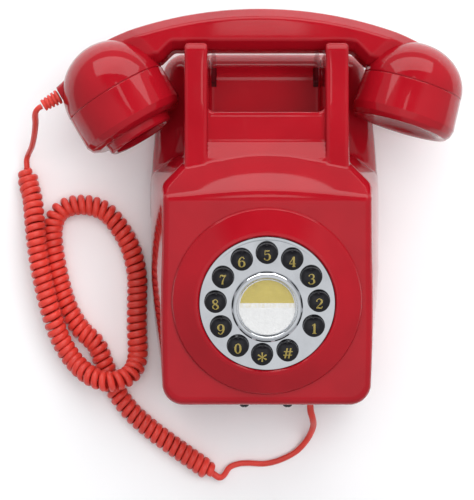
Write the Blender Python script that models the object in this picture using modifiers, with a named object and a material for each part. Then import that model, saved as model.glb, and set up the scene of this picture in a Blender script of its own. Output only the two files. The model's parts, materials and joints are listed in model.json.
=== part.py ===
"""Wall telephone with twelve push keys set out like a rotary dial, handset on its cradle and curly cord.

Metres. It lies on its back plate, which is the plane z = 0: +Z comes out of the dial, +Y points to
the handset and +X to the right.
"""

import math

import bmesh
import bpy
from mathutils import Matrix, Vector

GAP = 0.0003  # clearance between touching pieces
WALL = 0.0026  # moulded wall of the case

# Case: plan outline of its back, and the tilted front face
CASE_LOW_Y, CASE_HIGH_Y = -0.105, 0.1000
CASE_REAR_Z = 0.0004
WIDEST_X, WIDEST_FROM_Y, WIDEST_TO_Y = 0.067, -0.025, 0.010
NARROWING_UP, NARROWING_DOWN = 1.50, 1.73  # half-width lost per metre squared past the widest stretch
FRONT_HALF_X, FRONT_Z = 0.056, 0.090
FOOT_Y, FOOT_Z = -0.0982, 0.080
RIDGE_Y, RIDGE_Z = 0.0146, 0.098
SHOULDER_END = (0.036, 0.082)
BOTTOM_DRAFT = 0.085
CORNER_R, TOP_CORNER_R, BURIED_CORNER_R = 0.011, 0.010, 0.004
REAR_LOW_Y, REAR_DEPTH, REAR_ROUND_X, REAR_ROUND_Y, REAR_STEP = 0.004, 0.036, 0.020, 0.015, 0.0003
BOSS_R, BOSS_HOLE_R, BOSS_HOLE_TOP = 0.0036, 0.0019, 0.0140
BOSS_PLACES = [  # x, y and the height that each boss reaches
    (0.0455, -0.0850, 0.0802), (-0.0455, -0.0850, 0.0802), (0.0475, 0.0775, 0.0280), (-0.0475, 0.0775, 0.0280),
]
DIAGONAL = ((0.054, 0.0213, 0.091), (0.0444, 0.0306, 0.088), (0.0595, 0.0323, 0.036))
FACE_TILT = math.atan2(RIDGE_Z - FOOT_Z, RIDGE_Y - FOOT_Y)

# Cradle
PRONG_X = (0.032, 0.0445)
PRONG_TIP_Y, SADDLE_Y = 0.0982, 0.0959
BRIDGE_TOP_Y = 0.0607
PLUNGER_X = 0.0292

# Back and low wall
PLATE_TOP_Z = 0.0030
KEYHOLE_YS, KEYHOLE_HEAD_R, KEYHOLE_SLOT = (0.0415, -0.0415), 0.0046, 0.0046
CORD_EXIT_X, CORD_EXIT_Z = 0.0265, 0.0230
CASE_SCREW_X, CASE_SCREW_Z = 0.0120, 0.0620

# Dial, in the frame of the tilted face
DIAL_Y, HUB_DROP = -0.0420, 0.0017
SURROUND_R, PLATE_R, HUB_R, CARD_R, KEYPAD_R = 0.0508, 0.0360, 0.0190, 0.0152, 0.0350
KEY_CIRCLE_R, KEY_R, KEY_FLANGE_R = 0.0274, 0.0056, 0.0066
FIRST_KEY_DEG, KEY_STEP_DEG = -25.5, 29.0
KEYS = ("1", "2", "3", "4", "5", "6", "7", "8", "9", "0", "star", "hash")

# Handset: its middle plane, the arc of its back, and the two ends' seams
HANDSET_Z = 0.054
ARC_CENTRE, ARC_R = (-0.0033, -0.1072), 0.2270
HANDLE_DEEP, HANDLE_HALF_Z, UNDERSIDE_Y = 0.0174, 0.0140, 0.0966
SKEW_DEG, DEEPEN_DEG, DEEPEN_OVER_DEG, DEEPEN_BY = 0.6, 13.7, 2.4, 0.0050
CLOSE_DEG, END_DEG = 18.0, 25.3
MOUTH_SEAM, MOUTH_TURN, MOUTH_R, MOUTH_DOME = (-0.0836, 0.0729), 31.0, 0.0296, 0.0302
EAR_SEAM, EAR_TURN, EAR_R, EAR_DOME = (0.0822, 0.0770), -17.6, 0.0281, 0.0244
RELIEF_START, RELIEF_TURN, RELIEF_LONG = (-0.1150, 0.0720), 210.0, 0.0110

# Cord: the route's own points, in order from the handset to the case
TAIL_D, COIL_D = 0.0034, 0.0124
HANDSET_TAIL = [
    (-0.1253, 0.0661, 0.0540), (-0.1275, 0.0648, 0.0538), (-0.1295, 0.0622, 0.0505),
    (-0.1307, 0.0575, 0.0420), (-0.1330, 0.0520, 0.0310), (-0.1362, 0.0465, 0.0190),
    (-0.1395, 0.0430, 0.0095), (-0.1412, 0.0395, 0.0066), (-0.1413, 0.0356, 0.0064),
]
COIL_ROUTE = [
    (-0.1411, 0.0345, 0.0064), (-0.1400, 0.0250, 0.0072), (-0.1372, 0.0155, 0.0100),
    (-0.1350, -0.0010, 0.0150), (-0.1330, -0.0180, 0.0155), (-0.1297, -0.0350, 0.0155),
    (-0.1255, -0.0515, 0.0150), (-0.1205, -0.0665, 0.0130), (-0.1122, -0.0800, 0.0130),
    (-0.1015, -0.0885, 0.0180), (-0.0900, -0.0916, 0.0192), (-0.0795, -0.0880, 0.0140),
    (-0.0752, -0.0785, 0.0075), (-0.0757, -0.0600, 0.0064), (-0.0755, -0.0435, 0.0064),
    (-0.0757, -0.0285, 0.0064), (-0.0793, -0.0135, 0.0064), (-0.0855, -0.0018, 0.0064),
    (-0.0945, 0.0085, 0.0064), (-0.1070, 0.0125, 0.0064), (-0.1195, 0.0100, 0.0064),
    (-0.1255, 0.0005, 0.0064), (-0.1250, -0.0150, 0.0064), (-0.1212, -0.0345, 0.0064),
    (-0.1160, -0.0500, 0.0064), (-0.1088, -0.0617, 0.0064), (-0.0997, -0.0710, 0.0064),
    (-0.0947, -0.0835, 0.0064), (-0.0888, -0.0968, 0.0064), (-0.0800, -0.1095, 0.0064),
    (-0.0675, -0.1210, 0.0064), (-0.0505, -0.1335, 0.0064), (-0.0380, -0.1422, 0.0064),
    (-0.0300, -0.1478, 0.0064),
]
BASE_TAIL = [
    (-0.0291, -0.1484, 0.0064), (-0.0266, -0.1500, 0.0061), (-0.0238, -0.1490, 0.0045),
    (-0.0205, -0.1447, 0.0024), (-0.0150, -0.1425, 0.0019),
    (-0.0087, -0.1421, 0.0019), (0.0008, -0.1424, 0.0019), (0.0103, -0.1400, 0.0019),
    (0.0198, -0.1348, 0.0022), (0.0262, -0.1270, 0.0050), (0.0290, -0.1190, 0.0115),
    (0.0284, -0.1135, 0.0190), (0.0270, -0.1085, 0.0222), (0.0267, -0.1040, 0.0228),
]

RED, CORD_RED, BLACK = (0.50, 0.012, 0.020), (0.72, 0.040, 0.018), (0.015, 0.014, 0.018)
CHROME, STEEL, CLEAR = (0.85, 0.87, 0.90), (0.55, 0.56, 0.58), (0.90, 0.92, 0.93)
CARD, GREEN, GREY = (0.80, 0.79, 0.74), (0.03, 0.20, 0.08), (0.20, 0.20, 0.21)


def clear_scene():
    for obj in list(bpy.data.objects):
        bpy.data.objects.remove(obj, do_unlink=True)


def new_collection(name):
    made = bpy.data.collections.new(name)
    bpy.context.scene.collection.children.link(made)
    return made


def material(name, colour, roughness, metallic=0.0):
    made = bpy.data.materials.new(name)
    made.use_nodes = True
    shader = made.node_tree.nodes["Principled BSDF"]
    shader.inputs["Base Color"].default_value = (*colour, 1.0)
    shader.inputs["Roughness"].default_value = roughness
    shader.inputs["Metallic"].default_value = metallic
    return made


clear_scene()
TELEPHONE, CUTTERS = new_collection("telephone"), new_collection("cutters")


def add_object(name, bm, look, matrix=None):
    """The bmesh as an object, in the telephone's collection or, with no look, among the cutters."""
    mesh = bpy.data.meshes.new(name)
    bmesh.ops.recalc_face_normals(bm, faces=bm.faces)
    bm.to_mesh(mesh)
    bm.free()
    obj = bpy.data.objects.new(name, mesh)
    obj.matrix_world = matrix or Matrix()
    if look is None:
        CUTTERS.objects.link(obj)
        obj.hide_render = True
        obj.display_type = "WIRE"
    else:
        TELEPHONE.objects.link(obj)
        mesh.materials.append(material(name, *look))
        mesh.shade_smooth()
        mesh.set_sharp_from_angle(angle=math.radians(35))
    return obj


def boolean(obj, cutter, operation="DIFFERENCE"):
    step = obj.modifiers.new(cutter.name, "BOOLEAN")
    step.operation = operation
    step.solver = "EXACT"
    step.object = cutter


def bevel(bm, edges, width, segments=2, least_deg=30.0):
    sharp = [e for e in edges if e.calc_face_angle(0.0) > math.radians(least_deg)]
    bmesh.ops.bevel(bm, geom=sharp, offset=width, segments=segments, profile=0.5, affect="EDGES")


def box(size, centre):
    bm = bmesh.new()
    bmesh.ops.create_cube(bm, size=1.0)
    bmesh.ops.scale(bm, vec=size, verts=bm.verts)
    bmesh.ops.translate(bm, vec=centre, verts=bm.verts)
    return bm


def cylinder(radius, low, high, segments=24, top_radius=None):
    """A cylinder or cone along Z, from low to high."""
    bm = bmesh.new()
    bmesh.ops.create_cone(
        bm, cap_ends=True, segments=segments, radius1=radius,
        radius2=radius if top_radius is None else top_radius, depth=high - low,
    )
    bmesh.ops.translate(bm, vec=(0, 0, (low + high) / 2), verts=bm.verts)
    return bm


def loft(rings):
    """A closed skin through rings of equal count, with a flat cap at each end."""
    bm = bmesh.new()
    rows = [[bm.verts.new(point) for point in ring] for ring in rings]
    count = len(rings[0])
    for low, high in zip(rows, rows[1:]):
        for i in range(count):
            j = (i + 1) % count
            bm.faces.new((low[i], low[j], high[j], high[i]))
    bm.faces.new(rows[0][::-1])
    bm.faces.new(rows[-1])
    return bm


def turned(name, profile, look, matrix, steps=32, closed=False):
    """A profile of (radius, height) points, outer side from top to bottom, spun about Z by a Screw."""
    mesh = bpy.data.meshes.new(name)
    edges = [(i, i + 1) for i in range(len(profile) - 1)]
    if closed:
        edges.append((len(profile) - 1, 0))
    mesh.from_pydata([(r, 0, z) for r, z in profile], edges, [])
    obj = bpy.data.objects.new(name, mesh)
    obj.matrix_world = matrix
    screw = obj.modifiers.new("turn", "SCREW")
    screw.steps = screw.render_steps = steps
    screw.use_merge_vertices = True
    screw.merge_threshold = 0.00001
    if look is None:
        CUTTERS.objects.link(obj)
        obj.hide_render = True
        obj.display_type = "WIRE"
    else:
        TELEPHONE.objects.link(obj)
        mesh.materials.append(material(name, *look))
    return obj


def slice_off(bm, point, normal):
    """Cuts away what lies past a plane and closes the cut."""
    geometry = bm.verts[:] + bm.edges[:] + bm.faces[:]
    cut = bmesh.ops.bisect_plane(bm, geom=geometry, plane_co=point, plane_no=normal, clear_outer=True)
    rim = [item for item in cut["geom_cut"] if isinstance(item, bmesh.types.BMEdge)]
    if rim:
        bmesh.ops.contextual_create(bm, geom=rim)


# ---------------------------------------------------------------- case


def face_z(y):
    return FOOT_Z + (y - FOOT_Y) * math.tan(FACE_TILT)


def back_half_width(y):
    above, below = max(0.0, y - WIDEST_TO_Y), max(0.0, WIDEST_FROM_Y - y)
    return WIDEST_X - NARROWING_UP * above**2 - NARROWING_DOWN * below**2


def side_x(y, z):
    """Half-width of the case: barrel-sided at its back and straight at its front."""
    back = back_half_width(y)
    return back + (FRONT_HALF_X - back) * z / FRONT_Z


def plan(z, low_y, high_y, inset, radii, steps=5, sides=7):
    """Outline of the case at a height, from its low edge round the right side and back."""
    low_r, high_r = (max(r - inset, 0.002) for r in radii)
    low_y, high_y = low_y + inset, high_y - inset

    def x_at(y):
        return side_x(y, z) - inset

    def corner(centre_y, radius, start_deg):
        centre_x = x_at(centre_y) - radius
        turns = [math.radians(start_deg + 90 * i / steps) for i in range(steps + 1)]
        return [(centre_x + radius * math.cos(a), centre_y + radius * math.sin(a)) for a in turns]

    first, last = low_y + low_r, high_y - high_r
    side = [first + (last - first) * i / sides for i in range(1, sides)]
    right = corner(first, low_r, -90) + [(x_at(y), y) for y in side] + corner(last, high_r, 0)
    left = [(-x, y) for x, y in reversed(right)]
    return [(x, y, z) for x, y in right + left]


def main_block(inset, bottom_z):
    """The deep part of the case behind the dial: a drafted column, sliced by its front faces."""
    top_z, high_y = 0.115, 0.040
    rings = [
        plan(z, CASE_LOW_Y + BOTTOM_DRAFT * z, high_y, inset, (CORNER_R, BURIED_CORNER_R))
        for z in (bottom_z, top_z)
    ]
    bm = loft(rings)
    front = Vector((0, -math.sin(FACE_TILT), math.cos(FACE_TILT)))
    slice_off(bm, Vector((0, RIDGE_Y, RIDGE_Z)) - front * inset, front)
    run, drop = SHOULDER_END[0] - RIDGE_Y, RIDGE_Z - SHOULDER_END[1]
    shoulder = Vector((0, drop, run)).normalized()
    slice_off(bm, Vector((0, RIDGE_Y, RIDGE_Z)) - shoulder * inset, shoulder)
    for side in (1, -1):
        a, b, c = (Vector((side * x, y, z)) for x, y, z in DIAGONAL)
        normal = (b - a).cross(c - a).normalized()
        if normal.x * side < 0:
            normal.negate()
        slice_off(bm, a - normal * inset, normal)
    return bm


def rear_body(inset, bottom_z):
    """The shallow part of the case against the wall, just inside the deep part's walls where they meet."""
    inset += REAR_STEP
    radii = (BURIED_CORNER_R, TOP_CORNER_R)
    rings = [plan(bottom_z, REAR_LOW_Y, CASE_HIGH_Y, inset, radii)]
    steps = 5
    for i in range(steps + 1):
        turn = math.radians(90 * i / steps)
        z = REAR_DEPTH + REAR_STEP - inset - REAR_ROUND_X * (1 - math.sin(turn))
        aside, along = ((1 - math.cos(turn)) * r for r in (REAR_ROUND_X, REAR_ROUND_Y))
        ring = plan(z, REAR_LOW_Y, CASE_HIGH_Y, inset, radii)
        widest = max(x for x, _, _ in ring)
        middle = (REAR_LOW_Y + CASE_HIGH_Y) / 2
        half_y = (CASE_HIGH_Y - REAR_LOW_Y) / 2
        rings.append(
            [
                (x * (1 - aside / widest), middle + (y - middle) * (1 - along / half_y), zz)
                for x, y, zz in ring
            ]
        )
    return loft(rings)


def prism(profile, low_x, high_x):
    """A (y, z) outline carried across from low_x to high_x."""
    return loft([[(x, y, z) for y, z in profile] for x in (low_x, high_x)])


def prong(side, inset):
    """A cradle prong: a fin with a saddle behind its tip for the handle."""
    low_z, top = 0.020 - inset * 2, PRONG_TIP_Y - inset
    saddle = SADDLE_Y - inset
    profile = [
        (0.025 + inset, low_z), (saddle, low_z), (saddle, 0.0694 - inset / 2), (top, 0.0702 - inset / 4),
        (top, 0.0782 - inset), (top - 0.002, 0.0801 - inset), (0.025 + inset, 0.0832 - inset),
    ]
    near, far = sorted((side * (PRONG_X[0] + inset), side * (PRONG_X[1] - inset)))
    return prism(profile, near, far)


def bridge(inset):
    """The panel between the prongs, with the block behind it."""
    top, low_z = BRIDGE_TOP_Y - inset, 0.020 - inset * 2
    profile = [
        (0.026 + inset, low_z), (top, low_z), (top, 0.0745 - inset), (top - 0.0022, 0.0768 - inset),
        (0.026 + inset, 0.0792 - inset),
    ]
    reach = PRONG_X[0] + 0.002
    return prism(profile, -reach, reach)


def case_shell():
    body = main_block(0.0, CASE_REAR_Z)
    front_edges = [e for e in body.edges if min(v.co.z for v in e.verts) > FOOT_Z - 0.004]
    bevel(body, front_edges, 0.0030)
    shell = add_object("case_shell", body, (RED, 0.12))
    outside = [("rear_form", rear_body(0.0, CASE_REAR_Z)), ("bridge_form", bridge(0.0))]
    outside += [(f"prong_form_{side}", prong(side, 0.0)) for side in (1, -1)]
    for name, bm in outside:
        boolean(shell, add_object(name, bm, None), "UNION")
    inside = [("main_hollow", main_block(WALL, -0.002)), ("rear_hollow", rear_body(WALL, -0.002))]
    inside += [("bridge_hollow", bridge(WALL))]
    inside += [(f"prong_hollow_{side}", prong(side, WALL)) for side in (1, -1)]
    for name, bm in inside:
        boolean(shell, add_object(name, bm, None))
    for i, (x, y, top) in enumerate(BOSS_PLACES):
        place = Matrix.Translation((x, y, 0))
        boss = cylinder(BOSS_R, PLATE_TOP_Z + GAP, top, 16)
        boolean(shell, add_object(f"boss_form_{i}", boss, None, place), "UNION")
        boolean(shell, add_object(f"boss_hole_{i}", cylinder(BOSS_HOLE_R, 0.0, BOSS_HOLE_TOP, 12), None, place))
    opening = cylinder(PLATE_R + 0.0022, -0.010, 0.010, 48)
    boolean(shell, add_object("dial_opening", opening, None, dial_frame()))
    way_out = cylinder(0.0036, -0.010, 0.010, 16)
    boolean(shell, add_object("cord_opening", way_out, None, low_wall_frame(CORD_EXIT_X, CORD_EXIT_Z)))
    for side in (1, -1):
        slot = box((0.0036, 0.0120, 0.022), (side * PLUNGER_X, 0.0848, 0.0330))
        boolean(shell, add_object(f"plunger_slot_{side}", slot, None))
        hole = cylinder(0.0017, -0.006, 0.004, 12)
        place = low_wall_frame(side * CASE_SCREW_X, CASE_SCREW_Z)
        boolean(shell, add_object(f"case_screw_hole_{side}", hole, None, place))


def back_plate():
    edge = WALL + 2 * REAR_STEP + GAP
    rings = [plan(z, CASE_LOW_Y, CASE_HIGH_Y, edge, (CORNER_R, TOP_CORNER_R)) for z in (0.0, PLATE_TOP_Z)]
    plate = add_object("back_plate", loft(rings), (BLACK, 0.45))
    for i, (x, y, _) in enumerate(BOSS_PLACES):
        place = Matrix.Translation((x, y, 0))
        boolean(plate, add_object(f"screw_well_{i}", cylinder(0.0034, -0.001, 0.0020, 16), None, place))
        boolean(plate, add_object(f"screw_way_{i}", cylinder(BOSS_HOLE_R, -0.001, 0.004, 12), None, place))
    for i, y in enumerate(KEYHOLE_YS):
        head = cylinder(KEYHOLE_HEAD_R, -0.001, 0.004, 20)
        boolean(plate, add_object(f"keyhole_head_{i}", head, None, Matrix.Translation((0, y, 0))))
        slot = box((KEYHOLE_SLOT, 0.009, 0.005), (0, y + 0.0065, 0.0015))
        boolean(plate, add_object(f"keyhole_slot_{i}", slot, None))


def plate_screws():
    profile = [
        (0, 0.0115), (0.0010, 0.0115), (0.0015, 0.0105), (0.0015, 0.0018), (0.0030, 0.0016), (0.0030, 0.0008),
        (0.0024, 0.0004), (0, 0.0004),
    ]
    for name, (x, y, _) in zip(("low_right", "low_left", "top_right", "top_left"), BOSS_PLACES):
        turned(f"plate_screw_{name}", profile, (STEEL, 0.35, 1.0), Matrix.Translation((x, y, 0)), 12)


# ---------------------------------------------------------------- screws and cord exit of the low wall

def low_wall_frame(x, z):
    """On the low wall's outside, with +Z pointing out of it."""
    y = CASE_LOW_Y + BOTTOM_DRAFT * z
    lean = math.pi / 2 - math.atan(BOTTOM_DRAFT)
    return Matrix.Translation((x, y, z)) @ Matrix.Rotation(lean, 4, "X")


def case_screws():
    profile = [
        (0, 0.0018), (0.0014, 0.0016), (0.0024, 0.0009), (0.0026, GAP), (0.0014, GAP), (0.0014, -0.0050),
        (0, -0.0056),
    ]
    for side, name in ((1, "case_screw_right"), (-1, "case_screw_left")):
        place = low_wall_frame(side * CASE_SCREW_X, CASE_SCREW_Z)
        turned(name, profile, (BLACK, 0.3, 1.0), place, 16)


def cord_grommet():
    """A flanged collar in the low wall, which the line end of the cord leaves through."""
    profile = [
        (0.0024, 0.0012), (0.0034, 0.0010), (0.0044, 0.0007), (0.0044, GAP), (0.0033, GAP), (0.0033, -0.0029),
        (0.0046, -0.0029), (0.0046, -0.0044), (0.0021, -0.0044), (0.0021, 0.0011),
    ]
    turned("cord_grommet", profile, (CORD_RED, 0.4), low_wall_frame(CORD_EXIT_X, CORD_EXIT_Z), 16, closed=True)


# ---------------------------------------------------------------- dial


def dial_frame():
    return Matrix.Translation((0, DIAL_Y, face_z(DIAL_Y))) @ Matrix.Rotation(FACE_TILT, 4, "X")


def dial_surround():
    profile = [
        (0.0374, 0.0070), (0.0386, 0.0068), (0.0503, 0.0018), (SURROUND_R, 0.0010), (SURROUND_R, GAP),
        (0.0379, GAP), (0.0379, -0.0045), (0.0365, -0.0045), (0.0365, 0.0066),
    ]
    turned("dial_surround", profile, (RED, 0.12), dial_frame(), 48, closed=True)


def dial_plate():
    profile = [
        (0, 0.0050), (0.0212, 0.0050), (0.0340, 0.0060), (PLATE_R, 0.0062), (PLATE_R, 0.0050), (0.0212, 0.0038),
        (0, 0.0038),
    ]
    plate = turned("dial_plate", profile, (CHROME, 0.08, 1.0), dial_frame(), 48)
    for i, frame in enumerate(key_frames()):
        boolean(plate, add_object(f"key_hole_{i}", cylinder(KEY_R + 0.0004, 0.001, 0.009, 20), None, frame))


def key_frames():
    for i in range(len(KEYS)):
        turn = math.radians(FIRST_KEY_DEG + KEY_STEP_DEG * i)
        place = (KEY_CIRCLE_R * math.cos(turn), KEY_CIRCLE_R * math.sin(turn), 0)
        yield dial_frame() @ Matrix.Translation(place)


def keys():
    profile = [
        (0, 0.0102), (0.0028, 0.0100), (0.0047, 0.0094), (KEY_R, 0.0082), (KEY_R, 0.0034),
        (KEY_FLANGE_R, 0.0032), (KEY_FLANGE_R, 0.0024), (0, 0.0024),
    ]
    for key, frame in zip(KEYS, key_frames()):
        turned(f"key_{key}", profile, (BLACK, 0.15), frame, 16)


def dial_centre():
    hub_frame = dial_frame() @ Matrix.Translation((0, -HUB_DROP, 0))
    ring = [
        (0.0162, 0.0084), (0.0178, 0.0083), (0.0188, 0.0076), (HUB_R, 0.0066), (HUB_R, 0.0053),
        (0.0157, 0.0053), (0.0157, 0.0078),
    ]
    turned("hub_ring", ring, (CHROME, 0.08, 1.0), hub_frame, 40, closed=True)
    card = [(0, 0.0058), (CARD_R, 0.0058), (CARD_R, 0.0053), (0, 0.0053)]
    turned("number_card", card, (CARD, 0.6), hub_frame, 32)
    window = [(0, 0.0074), (0.0142, 0.0073), (CARD_R, 0.0068), (CARD_R, 0.0061), (0, 0.0061)]
    turned("card_window", window, (CLEAR, 0.05), hub_frame, 32)


def keypad():
    membrane = [(0, 0.0003), (KEYPAD_R, 0.0003), (KEYPAD_R, -0.0009), (0, -0.0009)]
    turned("keypad_membrane", membrane, (GREY, 0.8), dial_frame(), 32)
    board = [(0, -0.0012), (KEYPAD_R, -0.0012), (KEYPAD_R, -0.0028), (0, -0.0028)]
    turned("keypad_board", board, (GREEN, 0.5), dial_frame(), 32)


# ---------------------------------------------------------------- works inside the case


def hook_switch_parts():
    """Two clear plungers on one yoke, which presses the switch's button when the handset sits down."""
    for side, name in ((1, "plunger_right"), (-1, "plunger_left")):
        stem = box((0.0026, 0.0050, 0.0120), (0, 0.0818, 0.0318))
        blade = box((0.0026, 0.0170, 0.0132), (0, 0.0878, 0.0434))
        bevel(blade, blade.edges, 0.0006, 1)
        place = Matrix.Translation((side * PLUNGER_X, 0, 0))
        obj = add_object(name, stem, (CLEAR, 0.05), place)
        boolean(obj, add_object(f"{name}_blade", blade, None, place), "UNION")
    yoke = box((0.0660, 0.0060, 0.0040), (0, 0.0815, 0.0235))
    bevel(yoke, yoke.edges, 0.0008, 1)
    add_object("plunger_yoke", yoke, (GREY, 0.5))
    switch = box((0.0200, 0.0100, 0.0065), (0, 0.0707, 0.0230))
    bevel(switch, switch.edges, 0.0005, 1)
    add_object("hook_switch", switch, (BLACK, 0.4))
    button = [(0, 0.0022), (0.0015, 0.0020), (0.0020, 0.0014), (0.0020, 0.0), (0, 0.0)]
    frame = Matrix.Translation((0, 0.0760, 0.0230)) @ Matrix.Rotation(-math.pi / 2, 4, "X")
    turned("hook_switch_button", button, (CORD_RED, 0.4), frame, 12)
    spring = box((0.0050, 0.0090, 0.0050), (0.0180, 0.0737, 0.0235))
    add_object("yoke_spring", spring, (STEEL, 0.3, 1.0))


def boards():
    main = box((0.0860, 0.0620, 0.0016), (0, -0.0120, 0.0130))
    add_object("main_board", main, (GREEN, 0.5))
    sounder = [(0, 0.0105), (0.0150, 0.0105), (0.0180, 0.0085), (0.0180, 0.0), (0, 0.0)]
    turned("ringer_sounder", sounder, (GREY, 0.6), Matrix.Translation((-0.0260, -0.0680, 0.0033)), 28)
    jack = box((0.0160, 0.0170, 0.0130), (0.0265, -0.0850, 0.0230))
    bevel(jack, jack.edges, 0.0006, 1)
    add_object("line_terminal", jack, (CLEAR, 0.4))


# ---------------------------------------------------------------- handset


def end_frame(seam, turn_deg):
    """On the axis of a handset end at its seam, with +Z pointing out through the cap."""
    axis = Vector((math.sin(math.radians(turn_deg)), -math.cos(math.radians(turn_deg)), 0))
    basis = axis.to_track_quat("Z", "Y").to_matrix().to_4x4()
    return Matrix.Translation((*seam, HANDSET_Z)) @ basis


def handle_bar(inset, low_deg, high_deg, steps=28):
    """The bar along the arc: a many-sided section that deepens, then closes on the top of each dome."""
    rings = []
    for i in range(steps + 1):
        turn_deg = low_deg + (high_deg - low_deg) * i / steps
        turn = math.radians(turn_deg)
        deepened = min(1.0, max(0.0, abs(turn_deg - SKEW_DEG) - DEEPEN_DEG) / DEEPEN_OVER_DEG)
        closing = max(0.0, abs(turn_deg) - CLOSE_DEG) / (END_DEG - CLOSE_DEG)
        wide = HANDLE_HALF_Z * math.sqrt(1.02 - closing**2) - inset
        straight = ARC_R - (UNDERSIDE_Y - ARC_CENTRE[1]) / math.cos(turn)
        deep = (max(HANDLE_DEEP, straight) + DEEPEN_BY * deepened) * (1 - 0.6 * closing) - 2 * inset
        section = [(0.0, 0.45), (0.06, 0.60), (0.28, 1.0), (0.80, 1.0), (0.95, 0.85), (1.0, 0.72)]
        half = [(share * deep, z * wide) for share, z in section]
        ring = []
        for down, z in half + [(down, -z) for down, z in reversed(half)]:
            radius = ARC_R - inset - down
            ring.append(
                (ARC_CENTRE[0] + radius * math.sin(turn), ARC_CENTRE[1] + radius * math.cos(turn),
                 HANDSET_Z + z)
            )
        rings.append(ring)
    return loft(rings)


def dome_profile(radius, height, rim, count=7):
    """Half an ellipse from its top down to the rim, closed flat on the axis."""
    turns = [math.radians(90 * i / count) for i in range(count)]
    curve = [(radius * math.sin(a), height * math.cos(a)) for a in turns]
    return curve + [(radius, rim), (0, rim)]


def flipped(frame):
    return frame @ Matrix.Rotation(math.pi, 4, "X")


def handset_handle():
    ends = (
        ("mouth", end_frame(MOUTH_SEAM, MOUTH_TURN), MOUTH_R, MOUTH_DOME),
        ("ear", end_frame(EAR_SEAM, EAR_TURN), EAR_R, EAR_DOME),
    )
    handle = add_object("handset_handle", handle_bar(0.0, -END_DEG, END_DEG), (RED, 0.12))
    for name, frame, radius, height in ends:
        outer = turned(f"{name}_dome", dome_profile(radius, height, GAP / 2), None, flipped(frame), 32)
        boolean(handle, outer, "UNION")
    boss = cylinder(0.0068, -0.0080, -GAP, 16, 0.0050)
    boolean(handle, add_object("relief_boss", boss, None, relief_frame()), "UNION")
    for name, frame, radius, height in ends:
        hollow = dome_profile(radius - 0.0025, height - 0.0025, -0.002)
        boolean(handle, turned(f"{name}_hollow", hollow, None, flipped(frame), 32))
    boolean(handle, add_object("handle_hollow", handle_bar(0.0025, -18.0, 18.5), None))
    boolean(handle, add_object("relief_hole", cylinder(0.0022, -0.012, 0.002, 12), None, relief_frame()))


def mouthpiece_cap():
    profile = [
        (0, 0.0252), (0.0150, 0.0256), (0.0162, 0.0280), (0.0185, 0.0284), (0.0195, 0.0275), (0.0195, 0.0236),
        (0.0245, 0.0230), (0.0282, 0.0212), (0.0298, 0.0183), (MOUTH_R, GAP / 2), (0.0272, GAP / 2),
        (0.0274, 0.0176), (0.0240, 0.0204), (0.0172, 0.0208), (0.0170, 0.0228), (0, 0.0228),
    ]
    ends = end_frame(MOUTH_SEAM, MOUTH_TURN)
    cap = turned("mouthpiece_cap", profile, (RED, 0.12), ends, 32)
    for i in range(6):
        turn = math.radians(60 * i)
        place = ends @ Matrix.Translation((0.0085 * math.cos(turn), 0.0085 * math.sin(turn), 0))
        boolean(cap, add_object(f"mouth_hole_{i}", cylinder(0.0012, 0.021, 0.030, 8), None, place))


def earpiece_cap():
    profile = [
        (0, 0.0186), (0.0080, 0.0190), (0.0160, 0.0208), (0.0225, 0.0234), (0.0262, 0.0238), (0.0286, 0.0216),
        (0.0294, 0.0184), (EAR_R, GAP / 2), (0.0256, GAP / 2), (0.0268, 0.0174), (0.0225, 0.0208),
        (0.0160, 0.0184), (0.0080, 0.0166), (0, 0.0162),
    ]
    ends = end_frame(EAR_SEAM, EAR_TURN)
    cap = turned("earpiece_cap", profile, (RED, 0.12), ends, 32)
    for i in range(3):
        place = ends @ Matrix.Translation((0.0045 * (i - 1), 0, 0))
        boolean(cap, add_object(f"ear_hole_{i}", cylinder(0.0009, 0.010, 0.025, 8), None, place))


def capsules():
    microphone = [(0, 0.0120), (0.0190, 0.0120), (0.0210, 0.0100), (0.0210, 0.0030), (0, 0.0030)]
    turned("microphone_capsule", microphone, (STEEL, 0.4, 1.0), end_frame(MOUTH_SEAM, MOUTH_TURN), 24)
    receiver = [(0, 0.0130), (0.0180, 0.0130), (0.0220, 0.0100), (0.0220, 0.0020), (0, 0.0020)]
    turned("receiver_capsule", receiver, (BLACK, 0.4), end_frame(EAR_SEAM, EAR_TURN), 24)
    weight = cylinder(0.0045, -0.035, 0.035, 16)
    frame = Matrix.Translation((-0.0033, 0.1085, HANDSET_Z)) @ Matrix.Rotation(math.pi / 2, 4, "Y")
    add_object("handset_weight", weight, (STEEL, 0.4, 1.0), frame)


def relief_frame():
    """At the start of the handset's strain relief, with +Z along the leaving cord."""
    turn = math.radians(RELIEF_TURN)
    axis = Vector((math.cos(turn), math.sin(turn), 0))
    basis = axis.to_track_quat("Z", "Y").to_matrix().to_4x4()
    return Matrix.Translation((*RELIEF_START, HANDSET_Z)) @ basis


def strain_relief():
    profile = [(0, RELIEF_LONG)]
    ribs = 5
    pitch = RELIEF_LONG / ribs
    for i in reversed(range(ribs)):
        rib = 0.0042 - 0.0002 * i
        low = i * pitch
        profile += [(rib, low + pitch * 0.95), (rib, low + pitch * 0.45)]
        if i:
            profile += [(0.0028, low + pitch * 0.40), (0.0028, low - pitch * 0.02)]
    profile += [(0.0028, 0.0004), (0, 0.0004)]
    turned("handset_strain_relief", profile, (CORD_RED, 0.4), relief_frame(), 16)


# ---------------------------------------------------------------- cord


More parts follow.
